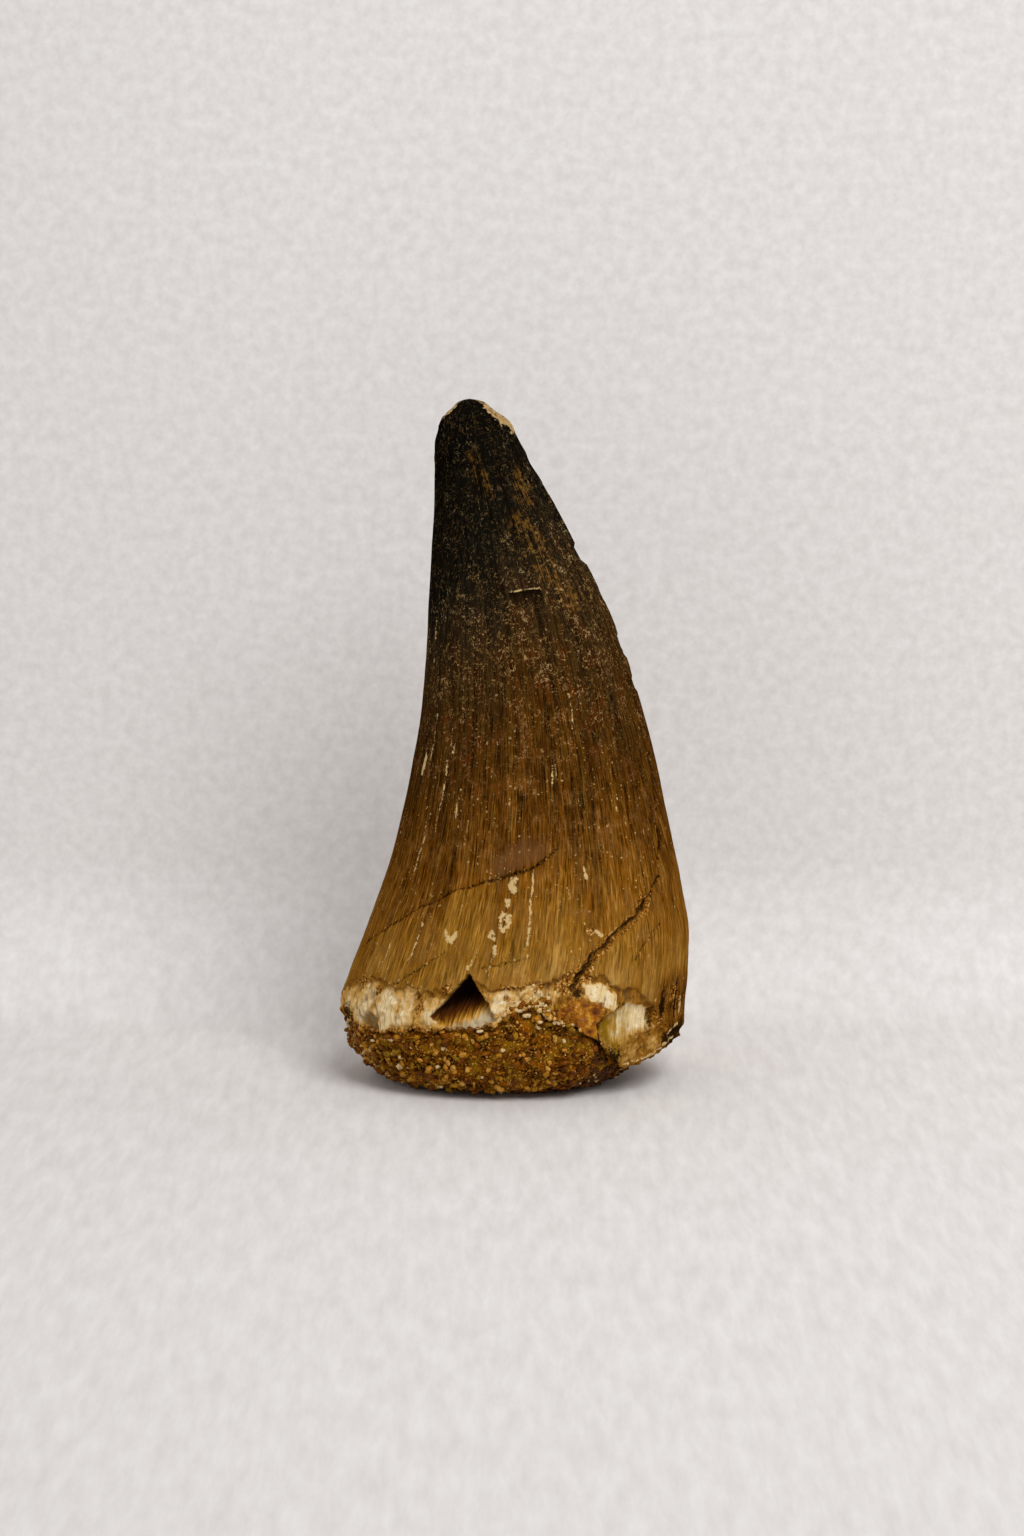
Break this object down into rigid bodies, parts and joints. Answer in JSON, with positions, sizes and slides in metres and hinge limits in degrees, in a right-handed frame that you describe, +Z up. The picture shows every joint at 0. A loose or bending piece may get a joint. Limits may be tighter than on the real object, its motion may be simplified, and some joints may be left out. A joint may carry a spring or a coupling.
{
  "type": "fossil mosasaur tooth",
  "caption": "Curved conical fossil reptile tooth with worn tip, cracked enamel and broken base, standing on the coarse phosphate rock that fills its hollow root end.",
  "frame": {"origin": "middle of the bounding box, on the table under the rock's flat foot", "axes": "+Z up along the tooth, -Y towards the side that is seen, +X towards the outer, convex edge of the curve"},
  "size_m": [0.0261, 0.0219, 0.0515],
  "materials": {
    "tooth": "satin",
    "matrix": "rough"
  },
  "bodies": {
    "root": {"tooth": "tooth", "matrix": "matrix"}
  },
  "joints": []
}
